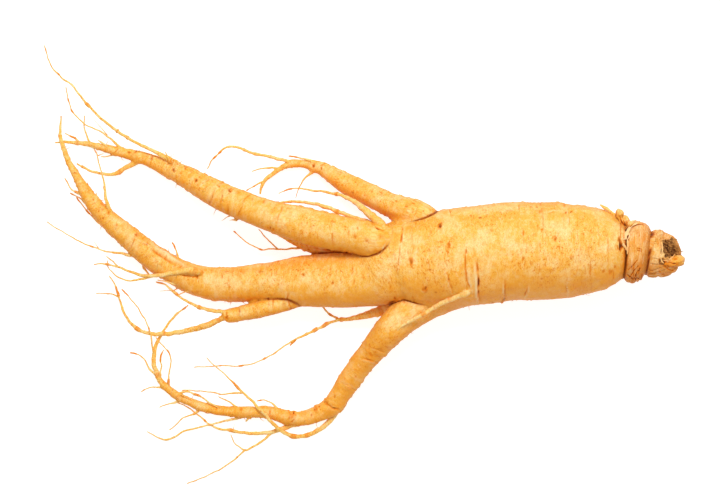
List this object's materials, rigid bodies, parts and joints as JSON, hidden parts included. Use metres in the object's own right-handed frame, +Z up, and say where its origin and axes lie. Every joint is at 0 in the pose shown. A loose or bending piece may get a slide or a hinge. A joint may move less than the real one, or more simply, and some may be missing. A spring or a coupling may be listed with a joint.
{
  "type": "korean ginseng root",
  "caption": "Fresh whole ginseng root lying on its side: stout ringed torso, knobbly neck with a bud, two legs, two arms and fine trailing rootlets.",
  "frame": {"origin": "middle of the small flat spot under the torso, where the root rests", "axes": "+Z up, away from the surface that the root lies on; +X along the torso towards its neck; +Y towards the shorter upper arm"},
  "size_m": [0.2134, 0.1473, 0.033],
  "materials": {
    "ginseng_skin": "washed moist root skin, straw yellow to golden tan with rust-brown scars, satin"
  },
  "bodies": {
    "root": {"ginseng_root": "ginseng_skin"}
  },
  "joints": []
}
